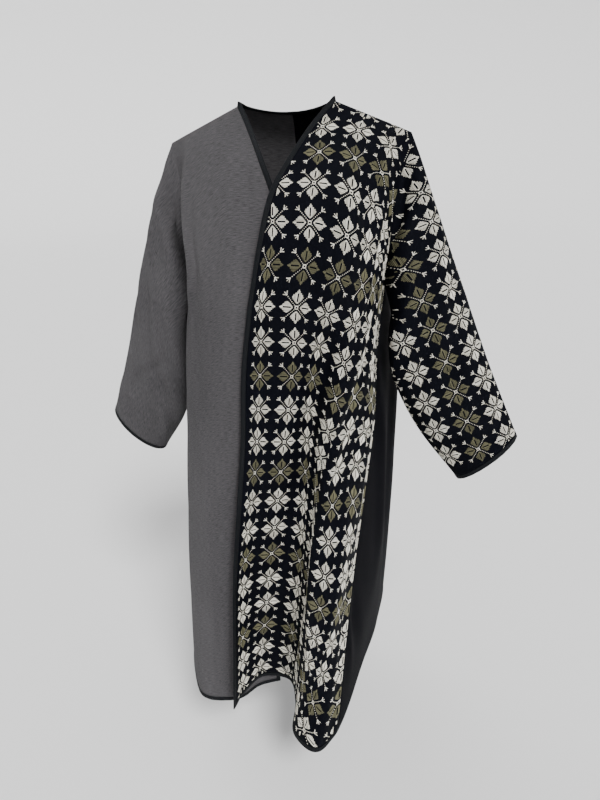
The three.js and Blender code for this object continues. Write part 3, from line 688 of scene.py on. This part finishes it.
def binding(name, run, closed, material, square_ends=(None, None)):
    """A tape along a run of (edge point, next point inside), and its length in metres."""
    edge = np.array([r[0] for r in run])
    inner = np.array([r[1] for r in run])
    if closed:
        along = np.roll(edge, -1, 0) - np.roll(edge, 1, 0)
    else:
        along = np.gradient(edge, axis=0)
        for end, direction in zip((0, -1), square_ends):
            if direction is not None:
                along[end] = direction
    along /= np.linalg.norm(along, axis=1, keepdims=True)
    outward = edge - inner
    outward -= along * (outward * along).sum(1, keepdims=True)
    outward /= np.linalg.norm(outward, axis=1, keepdims=True)
    normal = np.cross(along, outward)
    length = np.concatenate([[0], np.cumsum(np.linalg.norm(np.diff(edge, axis=0), axis=1))])
    pucker = PUCKER * np.sin(length / PUCKER_PITCH + np.sin(length / PUCKER_DRIFT))[:, None]
    count = len(TAPE_SECTION)
    rows = []
    flat = []
    for w, h in TAPE_SECTION:
        rows.append(edge + outward * (w + (pucker if w > 2 else 0) * 0.6)
                    + normal * (h * (BINDING_WALL / 2) + pucker * 0.3))
        flat.append(np.stack([length, np.full(len(length), w + (FACE_APART if h > 0 else 0))], 1))
    verts = np.stack(rows, 1).reshape(-1, 3)
    flat = np.stack(flat, 1).reshape(-1, 2) * MM
    n = len(edge)
    index = np.arange(n * count).reshape(n, count)
    if closed:
        index = np.concatenate([index, index[:1]])
    index = np.concatenate([index, index[:, :1]], 1)
    faces = grid_quads(index)
    if not closed:
        caps = []
        for row, turn in ((0, 1), (n - 1, -1)):
            for k in range(count // 2 - 1):
                quad = [k, k + 1, count - 2 - k, count - 1 - k]
                caps.append([row * count + q for q in quad][::turn])
        faces = np.concatenate([faces, np.array(caps)])
    p = verts[faces]
    volume = (p[:, 0] * np.cross(p[:, 1], p[:, 2])).sum() + (p[:, 0] * np.cross(p[:, 2], p[:, 3])).sum()
    if volume < 0:
        faces = faces[:, ::-1]
    obj = make_object(name, verts, faces, material, flat)
    return obj, length[-1] * MM


# ---- embroidery ----
class Patch:
    """A grid of flat coordinates, points and normals that embroidery is laid on."""
    def __init__(self, a, b, points, normals):
        self.a, self.b, self.p, self.n = a, b, points, normals

    def nearest(self, a, b):
        away = (self.a - a) ** 2 + (self.b - b) ** 2
        return np.array(np.unravel_index(np.argmin(away), away.shape), float)

    def mix(self, field, i, j):
        rows, cols = self.a.shape
        i0 = np.clip(np.floor(i).astype(int), 0, rows - 2)
        j0 = np.clip(np.floor(j).astype(int), 0, cols - 2)
        s, t = i - i0, j - j0
        f00, f01, f10, f11 = field[i0, j0], field[i0, j0 + 1], field[i0 + 1, j0], field[i0 + 1, j0 + 1]
        if field.ndim == 3:
            s, t = s[:, None], t[:, None]
        value = f00 * (1 - s) * (1 - t) + f01 * (1 - s) * t + f10 * s * (1 - t) + f11 * s * t
        return value, (f10 - f00) * (1 - t) + (f11 - f01) * t, (f01 - f00) * (1 - s) + (f11 - f10) * s

    def locate(self, a, b, start):
        i, j = np.full(len(a), start[0]), np.full(len(a), start[1])
        rows, cols = self.a.shape
        for _ in range(SEARCH_ROUNDS):
            va, ai, aj = self.mix(self.a, i, j)
            vb, bi, bj = self.mix(self.b, i, j)
            ra, rb = a - va, b - vb
            det = ai * bj - aj * bi
            det = np.where(np.abs(det) < 1e-6, 1e-6, det)
            i = np.clip(i + np.clip((ra * bj - rb * aj) / det, -SEARCH_STEP, SEARCH_STEP), -1, rows)
            j = np.clip(j + np.clip((ai * rb - bi * ra) / det, -SEARCH_STEP, SEARCH_STEP), -1, cols)
        va, vb = self.mix(self.a, i, j)[0], self.mix(self.b, i, j)[0]
        close = (np.abs(va - a) < NEAR_ENOUGH) & (np.abs(vb - b) < NEAR_ENOUGH)
        far = 1 + BORDER
        inside = close & (i > BORDER) & (i < rows - far) & (j > BORDER) & (j < cols - far)
        return i, j, inside


def strip(x0, x1, y0, y1, step=STITCH_STEP):
    """One raised run of stitches along y: rows of bottom, top, top, bottom points."""
    count = max(1, int(round((y1 - y0) / step)))
    verts, faces = [], []
    rise = min(STITCH_SHOULDER, (x1 - x0) / 3)
    for k, y in enumerate(np.linspace(y0, y1, count + 1)):
        end = STITCH_END if k == 0 else (-STITCH_END if k == count else 0)
        verts += [(x0, y, THREAD_ROOT), (x0 + rise, y + end, 1)]
        verts += [(x1 - rise, y + end, 1), (x1, y, THREAD_ROOT)]
    for k in range(count):
        a = 4 * k
        faces += [(a + c, a + c + 1, a + c + 5, a + c + 4) for c in range(3)]
    last = 4 * count
    faces += [(3, 2, 1, 0), (last, last + 1, last + 2, last + 3)]
    return np.array(verts, float), np.array(faces)


def motif():
    """The flower's runs of stitches about its middle: leaves, then stems, ring and buds."""
    leaves, stems = [], []
    for c, s in [(1, 0), (0, 1), (-1, 0), (0, -1)]:
        turn = np.array([[c, s], [-s, c]])
        runs = [(side * w if side > 0 else -v, side * v if side > 0 else -w, t0, t1)
                for w, v, t0, t1 in LEAF_COLUMNS for side in (1, -1)]
        runs += [(-VEIN_HALF, VEIN_HALF, t0, t1) for t0, t1 in LEAF_TIPS]
        for x0, x1, y0, y1 in runs:
            verts, faces = strip(x0, x1, y0, y1)
            verts[:, :2] = verts[:, :2] @ turn
            leaves.append((verts, faces))
        h = math.sqrt(0.5)
        slant = np.array([[h, h], [-h, h]]) @ turn
        for t in STEM_DOTS:
            verts, faces = strip(-DOT, DOT, t - DOT, t + DOT, LONG_STEP)
            verts[:, :2] = verts[:, :2] @ slant
            stems.append((verts, faces))
        for angle, x0, x1, y0, y1 in BUD:
            verts, faces = strip(x0, x1, y0, y1, LONG_STEP)
            c, s = math.cos(math.radians(angle)), math.sin(math.radians(angle))
            verts[:, :2] = (verts[:, :2] @ np.array([[c, s], [-s, c]]) + [0, BUD_FOOT]) @ slant
            stems.append((verts, faces))
    for x0, x1, y0, y1 in RING:
        stems.append(strip(x0, x1, y0, y1, LONG_STEP))
    return leaves, stems


def join_runs(runs):
    verts, faces, owner = [], [], []
    total = 0
    for k, (v, f) in enumerate(runs):
        verts.append(v)
        faces.append(f + total)
        owner += [k] * len(v)
        total += len(v)
    return np.concatenate(verts), np.concatenate(faces), np.array(owner)


def embroider(patches, spots):
    """Lays motifs at the spots (patch, across, down, row) and returns meshes by colour."""
    kinds = [join_runs(runs) for runs in motif()]
    found = {"cream_leaves": [], "olive_leaves": [], "cream_stems": []}
    for which, a0, b0, row in spots:
        patch = patches[which]
        start = patch.nearest(a0, b0)
        skew = RNG.normal(0, MOTIF_SKEW)
        leaf = "olive_leaves" if row % OLIVE_EVERY == OLIVE_ROW else "cream_leaves"
        for kind, (verts, faces, owner) in enumerate(kinds):
            x = verts[:, 0] + skew * verts[:, 1]
            y = verts[:, 1] - skew * verts[:, 0]
            i, j, inside = patch.locate(a0 + x, b0 + y, start)
            whole = np.ones(owner.max() + 1, bool)
            np.logical_and.at(whole, owner, inside)
            keep = whole[owner]
            if not keep.any():
                continue
            point, normal = patch.mix(patch.p, i, j)[0], patch.mix(patch.n, i, j)[0]
            normal /= np.maximum(np.linalg.norm(normal, axis=1, keepdims=True), 1e-9)
            point = point + normal * (SHELL / 2 + THREAD_LIFT * verts[:, 2:3])
            number = np.cumsum(keep) - 1
            tint = RNG.uniform(0, 1, owner.max() + 1)[owner]
            key = "cream_stems" if kind else leaf
            flat = np.stack([a0 + x, b0 + y], 1)[keep] * MM
            found[key].append((point[keep], number[faces[keep[faces].all(1)]], flat, tint[keep]))
    out = {}
    for key, parts in found.items():
        total, verts, faces, flats, tints = 0, [], [], [], []
        for v, f, flat, tint in parts:
            verts.append(v)
            faces.append(f + total)
            flats.append(flat)
            tints.append(tint)
            total += len(v)
        out[key] = [np.concatenate(x) for x in (verts, faces, flats, tints)]
    return out


# ---- build ----
halves = {
    "left": Half("left", 1, LEFT_FRONT, LEFT_BACK),
    "right": Half("right", -1, RIGHT_FRONT, RIGHT_BACK),
}
materials = {
    "front_left": crepe("embroidered_crepe", colour(3, 4, 10), colour(10, 12, 20), 0.0, 0.8),
    "back_left": crepe("black_crepe", colour(4, 4, 8), colour(10, 10, 15), 0.0, 0.8),
    "front_right": grey_twill(),
}
materials["back_right"] = materials["front_right"]
tape_material = tape()

panels, cloths = {}, {}
for side, half in halves.items():
    for facing in (FRONT, BACK):
        panel = Panel(half, facing)
        verts, faces, flat = panel.shell()
        obj = make_object(panel.name + "_cloth", verts, faces, materials[panel.name], flat)
        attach(obj, "root")
        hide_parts(panel.name)
        panels[panel.name], cloths[panel.name] = panel, obj

for side, half in halves.items():
    front, back = panels["front_" + side], panels["back_" + side]
    fp, bp = front.points, back.points
    fi, bi, fs, bs = front.body_index, back.body_index, front.sleeve_index, back.sleeve_index
    edge = [(fp[fi[r, 0]], fp[fi[r, 1]]) for r in range(len(fi) - 1, -1, -1)]
    down = edge[0][0] - edge[1][0]
    down = down / np.linalg.norm(down) * BINDING_WIDTH
    edge.insert(0, (edge[0][0] + down, edge[0][1] + down))
    neck_columns = [c for c in range(bi.shape[1]) if bp[bi[0, c]][1] > 0.5]
    neck = [(bp[bi[0, c]], bp[bi[1, c]]) for c in neck_columns][::-1]
    across = np.array([-half.side, 0.0, 0.0])
    inwards = edge[1][1] - edge[1][0]
    corner = edge[0][0] - edge[1][0]
    square = inwards - corner * (inwards @ corner) / (corner @ corner)
    hem = [(fp[fi[-1, c]], fp[fi[-2, c]]) for c in range(fi.shape[1])]
    hem += [(bp[bi[-1, c]], bp[bi[-2, c]]) for c in range(bi.shape[1] - 2, -1, -1)]
    cuff = [(fp[fs[-1, r]], fp[fs[-2, r]]) for r in range(YOKE_ROWS + 1)]
    cuff += [(bp[bs[-1, r]], bp[bs[-2, r]]) for r in range(YOKE_ROWS - 1, 0, -1)]
    for kind, run, closed, ends in (("edge", edge + neck, False, (None, across)),
                                    ("hem", hem, False, (square, across)),
                                    ("cuff", cuff, True, (None, None))):
        node = f"{kind}_binding_{side}"
        obj, length = binding(node + "_tape", run, closed, tape_material, ends)
        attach(obj, "root")
        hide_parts(node)

left = panels["front_left"]
patches = {
    "body": Patch(left.a_body, left.b_body, left.points[left.body_index], left.normals[left.body_index]),
    "sleeve": Patch(left.a_sleeve, left.b_sleeve, left.points[left.sleeve_index],
                    left.normals[left.sleeve_index]),
}
spots = [("body", FIRST_COLUMN + REPEAT * c, REPEAT * (r + ROW_START), r)
         for r in BODY_ROWS for c in BODY_COLUMNS]
sleeve_start = FIRST_COLUMN + SLEEVE_COLUMN * REPEAT - SHOULDER_ACROSS[1]
spots += [("sleeve", sleeve_start + REPEAT * k, REPEAT * (r + ROW_START), r)
          for r in SLEEVE_ROWS for k in SLEEVE_COLUMNS]
threads = {
    "cream": thread("cream_thread", colour(198, 193, 176), colour(252, 249, 238)),
    "olive": thread("olive_thread", colour(84, 82, 62), colour(122, 119, 94)),
}
for name, (verts, faces, flat, tint) in embroider(patches, spots).items():
    obj = make_object("embroidery_" + name, verts, faces, threads[name.split("_")[0]], flat, tint)
    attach(obj, "root")

for name, obj in cloths.items():
    area = panels[name].area()


# ---- floor, light and camera ----
def studio_floor():
    """A pale round floor that curves up into a wall far from the garment."""
    curve = np.linspace(0, np.pi / 2, FLOOR_BENDS)
    bend = FLOOR_FLAT + FLOOR_CURVE * np.sin(curve)
    radii = np.concatenate([FLOOR_RINGS, bend, [FLOOR_FLAT + FLOOR_CURVE]])
    level = np.zeros(len(FLOOR_RINGS))
    heights = np.concatenate([level, FLOOR_CURVE * (1 - np.cos(curve)), [WALL_TOP]])
    turns = np.linspace(0, 2 * np.pi, FLOOR_SIDES + 1)[:-1]
    verts = np.stack([np.outer(radii, np.cos(turns)), np.outer(radii, np.sin(turns)),
                      np.repeat(heights[:, None] + FLOOR_HEIGHT, len(turns), 1)], -1).reshape(-1, 3)
    index = np.arange(len(verts)).reshape(len(radii), len(turns))
    index = np.concatenate([index, index[:, :1]], 1)
    paint = bpy.data.materials.new("floor_paint")
    paint.use_nodes = True
    surface = paint.node_tree.nodes["Principled BSDF"]
    surface.inputs["Base Color"].default_value = colour(243, 243, 243)
    surface.inputs["Roughness"].default_value = 0.95
    surface.inputs["Specular IOR Level"].default_value = 0.1
    return make_object("floor", verts / MM, grid_quads(index), paint)


studio_floor()

world = bpy.data.worlds.new("studio")
bpy.context.scene.world = world
world.use_nodes = True
world.node_tree.nodes["Background"].inputs["Color"].default_value = (1, 1, 1, 1)
world.node_tree.nodes["Background"].inputs["Strength"].default_value = SKY


def lamp(name, place, spread, power):
    """A broad sun that shines from the place given towards the garment."""
    data = bpy.data.lights.new(name, "SUN")
    data.angle = spread
    data.energy = power
    obj = bpy.data.objects.new(name, data)
    bpy.context.scene.collection.objects.link(obj)
    away = np.array(place, float)
    away /= np.linalg.norm(away)
    right = np.cross([0, 0, 1], away)
    right /= np.linalg.norm(right)
    up = np.cross(away, right)
    rows = [[right[k], up[k], away[k], place[k]] for k in range(3)]
    obj.matrix_world = Matrix(rows + [[0, 0, 0, 1]])


lamp("key", (4.8, -6.4, 10.0), math.radians(18), 3.0)
lamp("rim", (-5.0, 5.5, 7.5), math.radians(40), 0.7)

right = np.array([math.cos(YAW), math.sin(YAW), 0])
level = np.array([-math.sin(YAW), math.cos(YAW), 0])
rise = np.array([0, 0, 1.0])
ahead = level * math.cos(TILT) - rise * math.sin(TILT)
up = level * math.sin(TILT) + rise * math.cos(TILT)
cam_right = right * math.cos(ROLL) + up * math.sin(ROLL)
cam_up = -right * math.sin(ROLL) + up * math.cos(ROLL)
camera_data = bpy.data.cameras.new("camera")
camera_data.lens = LENS
camera_data.sensor_width = SENSOR
camera = bpy.data.objects.new("camera", camera_data)
camera_rows = [[cam_right[k], cam_up[k], -ahead[k], CAMERA_PLACE[k]] for k in range(3)]
camera.matrix_world = Matrix(camera_rows + [[0, 0, 0, 1]])
bpy.context.scene.collection.objects.link(camera)
bpy.context.scene.camera = camera
